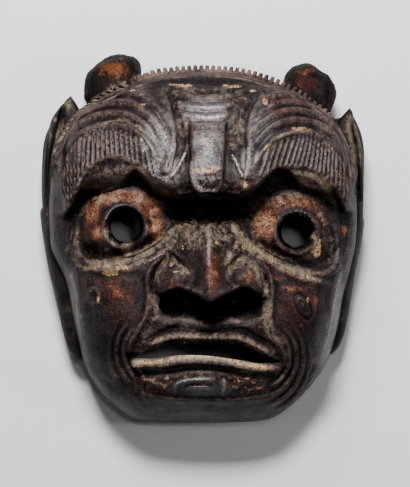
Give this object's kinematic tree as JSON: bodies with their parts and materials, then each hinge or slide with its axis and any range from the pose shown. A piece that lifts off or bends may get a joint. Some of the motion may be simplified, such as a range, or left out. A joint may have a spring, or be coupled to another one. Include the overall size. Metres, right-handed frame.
{
  "type": "nuo mask",
  "caption": "Carved wooden mask of a horned, scowling demon face, hollow behind, with pierced eyes and mouth.",
  "frame": {"origin": "centre of the mask's box at the plane of its flat back rim, which lies on the floor", "axes": "+Z out of the face, +Y up the face from chin to forehead, +X to the right as the face is seen"},
  "size_m": [0.2268, 0.2607, 0.1233],
  "materials": {
    "lacquered_wood": "dark brown lacquer, rubbed and dusty on the raised edges, with traces of vermilion and orange"
  },
  "bodies": {
    "root": {"mask": "lacquered_wood"}
  },
  "joints": []
}
